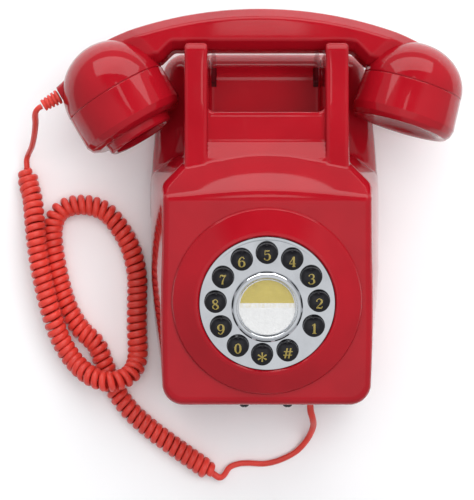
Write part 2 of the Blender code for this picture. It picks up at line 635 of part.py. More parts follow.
def smooth_route(points, spacing):
    """Points a spacing apart along the smooth curve through the given ones."""
    route = [Vector(p) for p in points]
    route = [2 * route[0] - route[1]] + route + [2 * route[-1] - route[-2]]
    fine = []
    for p0, p1, p2, p3 in zip(route, route[1:], route[2:], route[3:]):
        for i in range(16):
            t = i / 16
            fine.append(
                0.5 * (2 * p1 + (p2 - p0) * t + (2 * p0 - 5 * p1 + 4 * p2 - p3) * t**2
                       + (3 * p1 - p0 - 3 * p2 + p3) * t**3)
            )
    fine.append(route[-2])
    travelled = [0.0]
    for a, b in zip(fine, fine[1:]):
        travelled.append(travelled[-1] + (b - a).length)
    count = max(2, round(travelled[-1] / spacing))
    found, at = [], 0
    for i in range(count + 1):
        want = travelled[-1] * i / count
        while at < len(fine) - 2 and travelled[at + 1] < want:
            at += 1
        span = travelled[at + 1] - travelled[at]
        found.append(fine[at].lerp(fine[at + 1], (want - travelled[at]) / span))
    return found


def tube(name, points, diameter, resolution):
    curve = bpy.data.curves.new(name, "CURVE")
    curve.dimensions = "3D"
    curve.bevel_depth = diameter / 2
    curve.bevel_resolution = resolution
    curve.use_fill_caps = True
    spline = curve.splines.new("POLY")
    spline.points.add(len(points) - 1)
    for made, point in zip(spline.points, points):
        made.co = (*point, 1.0)
    obj = bpy.data.objects.new(name, curve)
    TELEPHONE.objects.link(obj)
    curve.materials.append(material(name, CORD_RED, 0.4))


def cord():
    tube("cord_tail_handset", smooth_route(HANDSET_TAIL, TAIL_D * 1.6), TAIL_D, 2)
    tube("cord_coil", smooth_route(COIL_ROUTE, COIL_D * 0.85), COIL_D - 0.0004, 2)
    tube("cord_tail_base", smooth_route(BASE_TAIL, TAIL_D * 1.6), TAIL_D, 2)


def build():
    case_shell()
    back_plate()
    plate_screws()
    case_screws()
    cord_grommet()
    dial_surround()
    dial_plate()
    keys()
    dial_centre()
    keypad()
    hook_switch_parts()
    boards()
    handset_handle()
    mouthpiece_cap()
    earpiece_cap()
    capsules()
    strain_relief()
    cord()


build()
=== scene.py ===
"""Looks of the wall telephone: smooth mouldings, bright dial, printed keys and a real coiled cord.

Shapes are worked out in millimetres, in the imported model's frame, and scaled to metres as meshes.
"""

import json
import math

import bmesh
import bpy
import numpy as np
from mathutils import Matrix, Vector


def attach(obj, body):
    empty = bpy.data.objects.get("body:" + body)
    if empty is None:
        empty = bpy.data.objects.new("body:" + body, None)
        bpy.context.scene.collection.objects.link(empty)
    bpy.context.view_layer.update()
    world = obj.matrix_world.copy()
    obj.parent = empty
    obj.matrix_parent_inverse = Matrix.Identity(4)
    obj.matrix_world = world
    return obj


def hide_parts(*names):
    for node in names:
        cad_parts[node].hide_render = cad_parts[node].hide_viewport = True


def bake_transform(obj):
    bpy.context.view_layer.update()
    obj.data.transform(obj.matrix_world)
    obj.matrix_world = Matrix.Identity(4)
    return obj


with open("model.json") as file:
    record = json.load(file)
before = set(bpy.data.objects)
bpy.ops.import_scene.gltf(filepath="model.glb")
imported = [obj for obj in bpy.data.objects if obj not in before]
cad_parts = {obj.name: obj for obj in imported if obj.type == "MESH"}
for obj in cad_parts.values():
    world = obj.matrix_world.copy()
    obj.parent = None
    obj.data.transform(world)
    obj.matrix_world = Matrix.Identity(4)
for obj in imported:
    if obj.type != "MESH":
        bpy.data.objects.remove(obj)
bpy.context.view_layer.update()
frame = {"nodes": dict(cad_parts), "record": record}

MM = 0.001
GAP = 0.06  # left between a cap and its dome, which shows as the fine seam
SHARP_DEG = 32.0

# Case
WALL = 2.6
CASE_LOW_Y, CASE_HIGH_Y, CASE_REAR_Z = -105.0, 100.0, 0.4
WIDEST_X, WIDEST_FROM_Y, WIDEST_TO_Y = 67.0, -25.0, 10.0
NARROWING_UP, NARROWING_DOWN = 1.50e-3, 1.73e-3  # half-width lost per square millimetre past the widest
FRONT_HALF_X, FRONT_Z = 56.0, 90.0
SIDE_BULGE, BULGE_FADE_Y = 2.6, 60.0
FOOT_Y, FOOT_Z = -98.2, 80.0
RIDGE_Y, RIDGE_Z = 14.6, 98.0
BOTTOM_DRAFT = 0.085
BODY_HIGH_Y, REAR_FROM_Y, REAR_DEPTH = 40.0, 4.0, 36.0
LOW_CORNER_R, REAR_CORNER_R, REAR_EDGE_R = 11.0, 10.0, 17.0
DIAGONAL = ((54.0, 21.3, 91.0), (44.4, 30.6, 88.0), (59.5, 32.3, 36.0))
FACE_TILT = math.atan2(RIDGE_Z - FOOT_Z, RIDGE_Y - FOOT_Y)
SHOULDER_RUN, SHOULDER_LOW_SLOPE, SHOULDER_BEND = 20.2, 0.50, 0.25
SHOULDER_HALF_X, SHOULDER_SIDE_SLOPE, SHOULDER_SHORTER, RIDGE_BOW = 50.0, 0.52, 0.10, 1.4
SIDE_SQUARE, LOW_SQUARE, BROW_SQUARE = 0.985, 0.996, 0.80  # square to a wall, per step along an axis
CORD_EXIT, CASE_SCREW = (26.5, 23.0), (12.0, 62.0)  # across and up the low wall
DIAL_HOLE_R = 38.2
FINE_STEP, COARSE_STEP = 1.25, 2.4

# Cradle
CRADLE_FROM_Y, CRADLE_FROM_Z = 20.0, 15.0
PRONG_X = (32.0, 44.5)
PRONG_TIP_Y, SADDLE_Y, SADDLE_Z = 98.2, 95.9, 69.8
PRONG_Z, PRONG_Z_AT_Y, PRONG_FALL, PRONG_CHAMFER_Z = 83.2, 25.0, 0.0428, 78.2
BRIDGE_TOP_Y, PANEL_Z, PANEL_FALL = 60.7, 77.2, 0.02
SWEEP_FROM_Y, SWEEP_LONG, SWEEP_SLOPE = 44.5, 9.9, 0.42
PLUNGER_X, SLOT_SIZE, SLOT_Y, SLOT_Z = 29.2, (2.9, 11.2, 22.0), 84.8, 33.0

# Dial
DIAL_Y, HUB_DROP = -42.0, 1.7
KEY_CIRCLE_R, KEY_R = 27.4, 5.6
FIRST_KEY_DEG, KEY_STEP_DEG = -25.5, 29.0
KEYS = ("1", "2", "3", "4", "5", "6", "7", "8", "9", "0", "star", "hash")
KEY_TOP, KEY_DOME_R, KEY_HOLE_GAP = 10.2, 17.5, 0.4
FIGURE_TALL, FIGURE_DROP, INK_PROUD, INK_SUNK = 5.6, -0.7, 0.07, -0.12
CARD_R, GOLD_FROM_Y, DASHES_FROM_Y = 0.0145, 0.0021, -0.0004

# Handset
HANDSET_Z = 54.0
ARC_CENTRE, ARC_R = (-3.3, -107.2), 227.0
HANDLE_DEEP, HANDLE_HALF_Z, UNDERSIDE_Y, SKEW_DEG = 17.4, 14.0, 96.6, 0.6
DEEPEN_DEG, DEEPEN_OVER_DEG, DEEPEN_PER_DEG = 13.7, 2.4, 2.1
CREASE_DEG, CREASE_MID, CREASE_LEAN, FOLD, FOLD_MORE = 17.6, 10.0, 0.137, 0.90, 0.11
TOP_FACET_DOWN, TOP_FACET_IN, TOP_FACET_LONG = 6.2, 7.5, 9.73
LOW_FACET_UP, LOW_FACET_IN = 3.6, 1.2
END_DEG, MM_PER_DEG, FOLD_SQUARE = 25.5, 3.9, 0.96
MOUTH_SEAM, MOUTH_TURN, MOUTH_R, MOUTH_DOME = (-83.6, 72.9), 31.0, 29.6, 30.2
EAR_SEAM, EAR_TURN, EAR_R, EAR_DOME = (82.2, 77.0), -17.6, 28.1, 24.4
CAP_WALL = 2.5
RELIEF_START, RELIEF_TURN, RELIEF_LONG = (-115.0, 72.0), 210.0, 11.0
RELIEF_RIBS, RIB_R, RIB_TAPER, RELIEF_CORE_R = 5, 4.2, 0.2, 2.8

# Cord: the same points as the CAD route
HANDSET_TAIL = [
    (-0.1253, 0.0661, 0.0540), (-0.1275, 0.0648, 0.0538), (-0.1295, 0.0622, 0.0505),
    (-0.1307, 0.0575, 0.0420), (-0.1330, 0.0520, 0.0310), (-0.1362, 0.0465, 0.0190),
    (-0.1395, 0.0430, 0.0095), (-0.1412, 0.0395, 0.0066), (-0.1413, 0.0356, 0.0064),
]
COIL_ROUTE = [
    (-0.1411, 0.0345, 0.0064), (-0.1400, 0.0250, 0.0072), (-0.1372, 0.0155, 0.0100),
    (-0.1350, -0.0010, 0.0150), (-0.1330, -0.0180, 0.0155), (-0.1297, -0.0350, 0.0155),
    (-0.1255, -0.0515, 0.0150), (-0.1205, -0.0665, 0.0130), (-0.1122, -0.0800, 0.0130),
    (-0.1015, -0.0885, 0.0180), (-0.0900, -0.0916, 0.0192), (-0.0795, -0.0880, 0.0140),
    (-0.0752, -0.0785, 0.0075), (-0.0757, -0.0600, 0.0064), (-0.0755, -0.0435, 0.0064),
    (-0.0757, -0.0285, 0.0064), (-0.0793, -0.0135, 0.0064), (-0.0855, -0.0018, 0.0064),
    (-0.0945, 0.0085, 0.0064), (-0.1070, 0.0125, 0.0064), (-0.1195, 0.0100, 0.0064),
    (-0.1255, 0.0005, 0.0064), (-0.1250, -0.0150, 0.0064), (-0.1212, -0.0345, 0.0064),
    (-0.1160, -0.0500, 0.0064), (-0.1088, -0.0617, 0.0064), (-0.0997, -0.0710, 0.0064),
    (-0.0947, -0.0835, 0.0064), (-0.0888, -0.0968, 0.0064), (-0.0800, -0.1095, 0.0064),
    (-0.0675, -0.1210, 0.0064), (-0.0505, -0.1335, 0.0064), (-0.0380, -0.1422, 0.0064),
    (-0.0300, -0.1478, 0.0064),
]
BASE_TAIL = [
    (-0.0291, -0.1484, 0.0064), (-0.0266, -0.1500, 0.0061), (-0.0238, -0.1490, 0.0045),
    (-0.0205, -0.1447, 0.0024), (-0.0150, -0.1425, 0.0019),
    (-0.0087, -0.1421, 0.0019), (0.0008, -0.1424, 0.0019), (0.0103, -0.1400, 0.0019),
    (0.0198, -0.1348, 0.0022), (0.0262, -0.1270, 0.0050), (0.0290, -0.1190, 0.0115),
    (0.0284, -0.1135, 0.0190), (0.0270, -0.1085, 0.0222), (0.0267, -0.1040, 0.0228),
]
WIRE_WIDE, WIRE_THICK, WIRE_MEAN = 0.0040, 0.0031, 0.0036
COIL_R, COIL_PITCH = 0.0046, 0.0044

# Stage
CAMERA_AT, LENS, SENSOR = (-0.016, -0.0144, 0.800), 95.9, 36.0
TABLE_HALF, TABLE_DROP = 600.0, 0.15


# ---------------------------------------------------------------- materials


class Look:
    """A Principled material built node by node, in object coordinates."""

    def __init__(self, name, colour, **sockets):
        self.material = bpy.data.materials.new(name)
        self.material.use_nodes = True
        self.nodes = self.material.node_tree.nodes
        self.links = self.material.node_tree.links
        self.shader = self.nodes["Principled BSDF"]
        self.shader.inputs["Base Color"].default_value = (*colour, 1.0)
        for socket, value in sockets.items():
            self.shader.inputs[socket.replace("_", " ")].default_value = value
        self.place = self.nodes.new("ShaderNodeTexCoord").outputs["Object"]

    def noise(self, scale, detail=3.0, stretch=None):
        """Noise from 0 to 1, finer for a larger scale and streaky when stretched."""
        source = self.place
        if stretch:
            mapping = self.nodes.new("ShaderNodeMapping")
            mapping.inputs["Scale"].default_value = stretch
            self.links.new(source, mapping.inputs["Vector"])
            source = mapping.outputs["Vector"]
        texture = self.nodes.new("ShaderNodeTexNoise")
        texture.inputs["Scale"].default_value = scale
        texture.inputs["Detail"].default_value = detail
        self.links.new(source, texture.inputs["Vector"])
        return texture.outputs["Fac"]

    def spread(self, value, low, high, start=0.35, end=0.65):
        """A value between start and end spread out between low and high."""
        ramp = self.nodes.new("ShaderNodeMapRange")
        for socket, number in (("From Min", start), ("From Max", end), ("To Min", low), ("To Max", high)):
            ramp.inputs[socket].default_value = number
        self.links.new(value, ramp.inputs["Value"])
        return ramp.outputs["Result"]

    def blend(self, factor, first, second):
        """One colour or socket fading into another by a factor."""
        mix = self.nodes.new("ShaderNodeMix")
        mix.data_type = "RGBA"
        self.links.new(factor, mix.inputs["Factor"])
        for socket, value in (("A", first), ("B", second)):
            target = next(s for s in mix.inputs if s.name == socket and s.type == "RGBA")
            if isinstance(value, tuple):
                target.default_value = (*value, 1.0)
            else:
                self.links.new(value, target)
        return next(s for s in mix.outputs if s.type == "RGBA")

    def step_of(self, operation, first, second):
        """One arithmetic step between two numbers or sockets."""
        step = self.nodes.new("ShaderNodeMath")
        step.operation = operation
        for socket, value in zip(step.inputs, (first, second)):
            if isinstance(value, (int, float)):
                socket.default_value = value
            else:
                self.links.new(value, socket)
        return step.outputs["Value"]

    def colour(self, source):
        self.links.new(source, self.shader.inputs["Base Color"])

    def rough(self, source):
        self.links.new(source, self.shader.inputs["Roughness"])

    def bump(self, height, strength, distance):
        bump = self.nodes.new("ShaderNodeBump")
        bump.inputs["Strength"].default_value = strength
        bump.inputs["Distance"].default_value = distance
        self.links.new(height, bump.inputs["Height"])
        self.links.new(bump.outputs["Normal"], self.shader.inputs["Normal"])


def moulded(name, colour, rough, drift=0.06, grain=900.0, depth=0.00001, **sockets):
    """Moulded plastic: a faint drift of colour, haze and scuffs in the gloss, and a fine skin."""
    look = Look(name, colour, **sockets)
    lighter = tuple(min(1.0, c * (1 + drift) + 0.002 * drift) for c in colour)
    darker = tuple(c * (1 - drift) for c in colour)
    look.colour(look.blend(look.spread(look.noise(38.0), 0.0, 1.0), darker, lighter))
    haze = look.spread(look.noise(70.0, 5.0), rough * 0.85, rough * 1.25)
    scuffs = look.spread(look.noise(420.0, 6.0, (1.0, 0.12, 1.0)), 0.0, rough * 0.9, 0.62, 0.72)
    look.rough(look.step_of("ADD", haze, scuffs))
    look.bump(look.noise(grain, 2.0), 0.35, depth)
    return look.material


def metal(name, colour, rough, streaks=(1.0, 1.0, 1.0)):
    """Bare or plated metal with faint wear in its gloss."""
    look = Look(name, colour, Metallic=1.0)
    darker = tuple(c * 0.9 for c in colour)
    look.colour(look.blend(look.spread(look.noise(90.0), 0.0, 1.0), darker, colour))
    look.rough(look.spread(look.noise(260.0, 5.0, streaks), rough * 0.8, rough * 1.4))
    look.bump(look.noise(1500.0, 2.0, streaks), 0.2, 0.000006)
    return look.material


def printed_card():
    """The label: a gold upper part, a narrow band of faint gold dashes, and a pale lower part."""
    look = Look("card_print", (0.8, 0.8, 0.78), Roughness=0.55)
    axes = look.nodes.new("ShaderNodeSeparateXYZ")
    look.links.new(look.place, axes.inputs["Vector"])
    across, up = axes.outputs["X"], axes.outputs["Y"]
    squares = [look.step_of("POWER", side, 2.0) for side in (across, up)]
    radius = look.step_of("SQRT", look.step_of("ADD", *squares), 0.0)
    within = look.step_of("LESS_THAN", radius, CARD_R)
    above = look.step_of("GREATER_THAN", up, GOLD_FROM_Y)
    gold = look.step_of("MULTIPLY", within, above)
    under_gold = look.step_of("LESS_THAN", up, GOLD_FROM_Y)
    band = look.step_of("MULTIPLY", under_gold, look.step_of("GREATER_THAN", up, DASHES_FROM_Y))
    faint = look.step_of("MULTIPLY", band, look.spread(look.noise(700.0, 1.0, (1.0, 0.2, 1.0)), 0.0, 0.35))
    paper = look.blend(look.spread(look.noise(500.0), 0.0, 1.0), (0.68, 0.68, 0.675), (0.72, 0.72, 0.715))
    inked = look.blend(look.spread(look.noise(300.0), 0.0, 1.0), (0.45, 0.345, 0.022), (0.50, 0.385, 0.032))
    dashed = look.blend(faint, paper, (0.60, 0.48, 0.16))
    look.colour(look.blend(gold, dashed, inked))
    look.bump(look.noise(2600.0), 0.2, 0.00001)
    return look.material


def clear(name, colour, alpha):
    """Clear plastic, or clear plastic with a dark tint that paints in shade: mostly see-through, with only
    its gloss and a little colour.
    """
    look = Look(name, colour, Alpha=alpha, IOR=1.49)
    look.rough(look.spread(look.noise(300.0), 0.02, 0.07))
    return look.material


def solder_board():
    """A circuit board with lighter tracks standing a little proud."""
    look = Look("board_green", (0.02, 0.12, 0.05))
    tracks = look.spread(look.noise(900.0, 1.0, (1.0, 0.1, 1.0)), 0.0, 1.0, 0.49, 0.51)
    look.colour(look.blend(tracks, (0.02, 0.12, 0.05), (0.04, 0.24, 0.09)))
    look.rough(look.spread(look.noise(200.0), 0.3, 0.45))
    look.bump(tracks, 0.4, 0.00004)
    return look.material


RED = moulded("red_gloss", (0.365, 0.0055, 0.0130), 0.07, depth=0.000004, IOR=1.45)
CORD = moulded("cord_red", (0.70, 0.050, 0.034), 0.34, drift=0.1, grain=1500.0, depth=0.00002)
CHROME = metal("bright_chrome", (0.88, 0.90, 0.93), 0.07)
STEEL = metal("zinc_steel", (0.55, 0.56, 0.58), 0.33, (1.0, 0.15, 1.0))
DARK_STEEL = metal("black_screw", (0.05, 0.05, 0.055), 0.35)
KEY_BLACK = moulded("key_black", (0.006, 0.0055, 0.0075), 0.14, drift=0.2, IOR=1.5)
INK_GOLD = moulded("key_figure_gold", (0.33, 0.25, 0.055), 0.42, drift=0.2, grain=3000.0)
CARD = printed_card()
CLEAR = clear("clear_plastic_skin", (0.97, 0.98, 0.98), 0.05)
# The hook-switch blades: mostly see-through, with a dark red tint that paints in the shade beside the prongs'
# inner sides.
BLADE_SHADE = clear("blade_painted_shade", (0.26, 0.010, 0.018), 0.25)
BLACK = moulded("black_grained", (0.018, 0.018, 0.019), 0.45, drift=0.15, grain=1300.0, depth=0.00005)
GREY = moulded("grey_plastic", (0.12, 0.12, 0.125), 0.5, grain=1500.0, depth=0.00003)
RUBBER = moulded("grey_rubber", (0.16, 0.16, 0.165), 0.75, grain=1800.0, depth=0.00004)
BOARD = solder_board()

SLOT_LOOKS = {
    "red_plastic": RED, "cord_plastic": CORD, "chrome": CHROME, "key_plastic": KEY_BLACK, "card": CARD,
    "clear_plastic": BLADE_SHADE, "black_plastic": BLACK, "rubber": RUBBER, "circuit_board": BOARD,
    "steel": STEEL, "dark_screw": DARK_STEEL,
}


# ---------------------------------------------------------------- meshes


def add_mesh(name, points, faces, look, sharp_deg=SHARP_DEG, matrix=None):
    """An object from points in millimetres, which its matrix, in metres, puts in place."""
    mesh = bpy.data.meshes.new(name)
    mesh.from_pydata((np.asarray(points, float) * MM).tolist(), [], faces)
    bm = bmesh.new()
    bm.from_mesh(mesh)
    bmesh.ops.recalc_face_normals(bm, faces=bm.faces)
    bm.to_mesh(mesh)
    bm.free()
    mesh.shade_smooth()
    mesh.set_sharp_from_angle(angle=math.radians(sharp_deg))
    if look:
        mesh.materials.append(look)
    obj = bpy.data.objects.new(name, mesh)
    obj.matrix_world = matrix or Matrix()
    bpy.context.scene.collection.objects.link(obj)
    return obj


def part(obj, body, slot, *nodes):
    """Puts a finished piece under its body and hides the CAD nodes that it stands for; the slot is not used.
    """
    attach(obj, body)
    if nodes:
        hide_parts(*nodes)
    return obj


def combine(obj, others, operation):
    """Applies a Boolean with each of the other objects, which it uses up."""
    for other in others:
        step = obj.modifiers.new(other.name, "BOOLEAN")
        step.operation = operation
        step.solver = "MANIFOLD"
        step.object = other
    graph = bpy.context.evaluated_depsgraph_get()
    mesh = bpy.data.meshes.new_from_object(obj.evaluated_get(graph))
    obj.modifiers.clear()
    obj.data = mesh
    for other in others:
        bpy.data.objects.remove(other, do_unlink=True)
    return obj


def resharpen(obj, sharp_deg=SHARP_DEG):
    """Smooth shading again after a Boolean, with the edges past the angle kept sharp."""
    obj.data.shade_smooth()
    obj.data.set_sharp_from_angle(angle=math.radians(sharp_deg))


def rounded(corners, steps=5):
    """A profile of (radius, height, fillet) corners with each fillet as an arc."""
    points = [Vector(c[:2]) for c in corners]
    count, out = len(corners), []
    for i, corner in enumerate(corners):
        fillet = corner[2] if len(corner) > 2 else 0.0
        if not fillet or i in (0, count - 1) and points[0].x < 1e-9:
            out.append(tuple(points[i]))
            continue
        before = (points[i - 1] - points[i]).normalized()
        after = (points[(i + 1) % count] - points[i]).normalized()
        half = before.angle(after) / 2
        centre = points[i] + (before + after).normalized() * (fillet / math.sin(half))
        start = points[i] + before * (fillet / math.tan(half)) - centre
        end = points[i] + after * (fillet / math.tan(half)) - centre
        sweep = start.angle_signed(end)
        for k in range(steps + 1):
            turned = start.copy()
            turned.rotate(Matrix.Rotation(-sweep * k / steps, 2))
            out.append(tuple(centre + turned))
    return out


def lathe(name, profile, look, matrix=None, steps=96, closed=False):
    """A (radius, height) profile in millimetres spun about local Z."""
    rows, points, faces = [], [], []
    for radius, height in profile:
        if radius < 1e-6:
            rows.append([len(points)] * steps)
            points.append((0.0, 0.0, height))
        else:
            rows.append(list(range(len(points), len(points) + steps)))
            turns = [2 * math.pi * i / steps for i in range(steps)]
            points += [(radius * math.cos(a), radius * math.sin(a), height) for a in turns]
    pairs = list(zip(rows, rows[1:]))
    if closed:
        pairs.append((rows[-1], rows[0]))
    for upper, lower in pairs:
        for i in range(steps):
            j = (i + 1) % steps
            face = list(dict.fromkeys((upper[i], lower[i], lower[j], upper[j])))
            if len(face) > 2:
                faces.append(face)
    return add_mesh(name, points, faces, look, matrix=matrix)


def rod(name, radius, low, high, matrix=None, steps=48):
    """A plain cylinder, used as a cutter."""
    return lathe(name, [(0, high), (radius, high), (radius, low), (0, low)], None, matrix, steps)


def block(name, size, centre, matrix=None):
    """A plain box, used as a cutter."""
    signs = [(x, y, z) for x in (-0.5, 0.5) for y in (-0.5, 0.5) for z in (-0.5, 0.5)]
    points = [[c + s * k for c, s, k in zip(centre, size, sign)] for sign in signs]
    faces = [(0, 1, 3, 2), (4, 6, 7, 5), (0, 4, 5, 1), (2, 3, 7, 6), (0, 2, 6, 4), (1, 5, 7, 3)]
    return add_mesh(name, points, faces, None, matrix=matrix)


# ---------------------------------------------------------------- distance fields


def both(a, b, r):
    """What lies in both shapes, with their shared edge rounded."""
    return np.minimum(np.maximum(a, b), -r) + np.hypot(np.maximum(a + r, 0), np.maximum(b + r, 0))


def either(a, b, r):
    """What lies in either shape, with a fillet between them."""
    return np.maximum(np.minimum(a, b), r) - np.hypot(np.maximum(r - a, 0), np.maximum(r - b, 0))


def skin(field, low, high, step):
    """The zero level of a field as quads: one vertex for each grid cell that it crosses, drawn onto it."""
    axes = [np.arange(a, b + step, step) for a, b in zip(low, high)]
    value = field(*np.meshgrid(*axes, indexing="ij"))
    cells = np.array(value.shape)
    quads = []
    total = np.zeros((value.size, 3))
    count = np.zeros(value.size)
    for axis in range(3):
        near, far = [slice(None)] * 3, [slice(None)] * 3
        near[axis], far[axis] = slice(None, -1), slice(1, None)
        a, b = value[tuple(near)], value[tuple(far)]
        crossed = (a < 0) != (b < 0)
        index = np.argwhere(crossed)
        a, b = a[crossed], b[crossed]
        at = index.astype(float)
        at[:, axis] += a / (a - b)
        first, second = ((1, 2), (2, 0), (0, 1))[axis]
        ring = []
        for along, across in ((0, 0), (-1, 0), (-1, -1), (0, -1)):
            cell = index.copy()
            cell[:, first] += along
            cell[:, second] += across
            number = np.ravel_multi_index(cell.T, cells)
            np.add.at(total, number, at)
            np.add.at(count, number, 1)
            ring.append(number)
        ring = np.stack(ring, axis=1)
        quads.append(np.where((a < 0)[:, None], ring, ring[:, ::-1]))
    used = np.flatnonzero(count)
    renumber = np.zeros(value.size, int)
    renumber[used] = np.arange(len(used))
    points = np.array(low) + total[used] / count[used][:, None] * step
    for _ in range(4):
        slope = np.stack([
            field(*(points + shift).T) - field(*(points - shift).T) for shift in np.eye(3) * 0.02
        ], axis=1) / 0.04
        move = -(field(*points.T) / np.maximum((slope**2).sum(1), 0.2))[:, None] * slope
        points += np.clip(move, -0.4 * step, 0.4 * step)
    return points, renumber[np.concatenate(quads)].tolist()


# ---------------------------------------------------------------- case


def face_z(y):
    """Height of the sloping face that holds the dial."""
    return FOOT_Z + (y - FOOT_Y) * math.tan(FACE_TILT)


def side_x(y, z):
    """Half-width of the case: barrel-sided at its back, straight at its front, bulging between them."""
    above, below = np.maximum(y - WIDEST_TO_Y, 0), np.maximum(WIDEST_FROM_Y - y, 0)
    back = WIDEST_X - NARROWING_UP * above**2 - NARROWING_DOWN * below**2
    rise = np.clip(z / FRONT_Z, 0, 1)
    bulge = SIDE_BULGE * np.clip(1 - below / BULGE_FADE_Y, 0, 1)
    return back + (FRONT_HALF_X - back) * z / FRONT_Z + 4 * bulge * rise * (1 - rise)


def shoulder_top(x, y):
    """Height of the brow behind the dial: steeper as it falls away, and shorter towards the sides."""
    aside = (x / SHOULDER_HALF_X) ** 2
    run = SHOULDER_RUN * (1 - SHOULDER_SHORTER * aside)
    past = (y - RIDGE_Y + RIDGE_BOW * (x / FRONT_HALF_X) ** 2) / run
    slope = SHOULDER_LOW_SLOPE + SHOULDER_SIDE_SLOPE * aside
    bend = SHOULDER_BEND * np.maximum(1 - aside, 0)
    return RIDGE_Z - run * (slope * past + bend * np.maximum(past, 0) ** 2)


def panel_top(y):
    """Height of the panel between the prongs, which slopes up to the brow's foot."""
    flat = PANEL_Z + (BRIDGE_TOP_Y - y) * PANEL_FALL
    return flat + np.clip(SWEEP_FROM_Y - y, 0, SWEEP_LONG) * SWEEP_SLOPE


def main_field(x, y, z):
    """The deep part of the case: sides, low wall, sloping face, brow and the two cut corners."""
    side = (np.abs(x) - side_x(y, z)) * SIDE_SQUARE
    low = (CASE_LOW_Y + BOTTOM_DRAFT * z - y) * LOW_SQUARE
    column = both(side, low, LOW_CORNER_R)
    column = both(column, y - BODY_HIGH_Y, 4.0)
    front = (z - FOOT_Z) * math.cos(FACE_TILT) - (y - FOOT_Y) * math.sin(FACE_TILT)
    brow = (z - shoulder_top(x, y)) * BROW_SQUARE
    cap = both(front, brow, 2.5)
    shape = both(column, cap, 3.4)
    for side_sign in (1, -1):
        a, b, c = (Vector((side_sign * px, py, pz)) for px, py, pz in DIAGONAL)
        normal = (b - a).cross(c - a).normalized()
        if normal.x * side_sign < 0:
            normal.negate()
        cut = (x - a.x) * normal.x + (y - a.y) * normal.y + (z - a.z) * normal.z
        shape = both(shape, cut, 2.4)
    return shape


def rear_field(x, y, z):
    """The shallow part of the case, behind the handset."""
    side = np.abs(x) - side_x(y, z)
    plan = both(side, y - CASE_HIGH_Y, REAR_CORNER_R)
    return both(both(plan, z - REAR_DEPTH, REAR_EDGE_R), REAR_FROM_Y - y, 2.0)


def cradle_field(x, y, z):
    """The two prongs with their saddles, and the lower panel that joins them."""
    middle = (PRONG_X[0] + PRONG_X[1]) / 2
    half = (PRONG_X[1] - PRONG_X[0]) / 2
    away = np.abs(np.abs(x) - middle) - half
    tip = np.minimum(y - SADDLE_Y, np.maximum(y - PRONG_TIP_Y, SADDLE_Z - z))
    reach = both(away, tip, 1.8)
    panel = both(np.abs(x) - middle, y - BRIDGE_TOP_Y, 0.1)
    plan = both(either(reach, panel, 4.0), CRADLE_FROM_Y - y, 1.0)
    sunk = both(plan, z - panel_top(y), 1.6)
    prong_top = (z - PRONG_Z + (y - PRONG_Z_AT_Y) * PRONG_FALL) * 0.99
    bevelled = both(both(away, tip, 2.2), CRADLE_FROM_Y - y, 1.0)
    chamfer = (y - PRONG_TIP_Y + z - PRONG_CHAMFER_Z) * math.sqrt(0.5)
    raised = both(both(bevelled, prong_top, 1.8), chamfer, 2.0)
    return both(either(sunk, raised, 0.8), CRADLE_FROM_Z - z, 1.0)


def case_field(x, y, z):
    """The whole outside; the fillet at the cradle's root is wide low down and tight at the brow."""
    shape = either(main_field(x, y, z), rear_field(x, y, z), 1.5)
    return either(shape, cradle_field(x, y, z), np.where(z < 60, 3.2, 0.3))


def dial_frame():
    return Matrix.Translation((0, DIAL_Y * MM, face_z(DIAL_Y) * MM)) @ Matrix.Rotation(FACE_TILT, 4, "X")


def low_wall_frame(x, z):
    """On the low wall, with local Z straight out of it."""
    y = CASE_LOW_Y + BOTTOM_DRAFT * z
    lean = math.pi / 2 - math.atan(BOTTOM_DRAFT)
    return Matrix.Translation((x * MM, y * MM, z * MM)) @ Matrix.Rotation(lean, 4, "X")


def case():
    def outer(x, y, z):
        return both(case_field(x, y, z), -3.0 - z, 0.1)

    def inner(x, y, z):
        return both(case_field(x, y, z) + WALL, -4.0 - z, 0.1)

    low, high = (-70, -108, -6), (70, 102, 102)
    shell = add_mesh("case_moulding", *skin(outer, low, high, FINE_STEP), RED)
    hollow = add_mesh("case_hollow", *skin(inner, low, high, COARSE_STEP), None)
    under = block("under", (200, 300, 20), (0, 0, CASE_REAR_Z - 10))
    cutters = [hollow, under, rod("dial_hole", DIAL_HOLE_R, -12, 12, dial_frame(), 96)]
    cutters.append(rod("cord_hole", 3.6, -10, 10, low_wall_frame(*CORD_EXIT)))
    for side in (1, -1):
        cutters.append(block(f"slot_{side}", SLOT_SIZE, (side * PLUNGER_X, SLOT_Y, SLOT_Z)))
        screw_at = low_wall_frame(side * CASE_SCREW[0], CASE_SCREW[1])
        cutters.append(rod(f"screw_hole_{side}", 1.7, -6, 4, screw_at))
    combine(shell, cutters, "DIFFERENCE")
    resharpen(shell, 40.0)
    part(shell, "telephone", "red_plastic", "case_shell")


# ---------------------------------------------------------------- dial


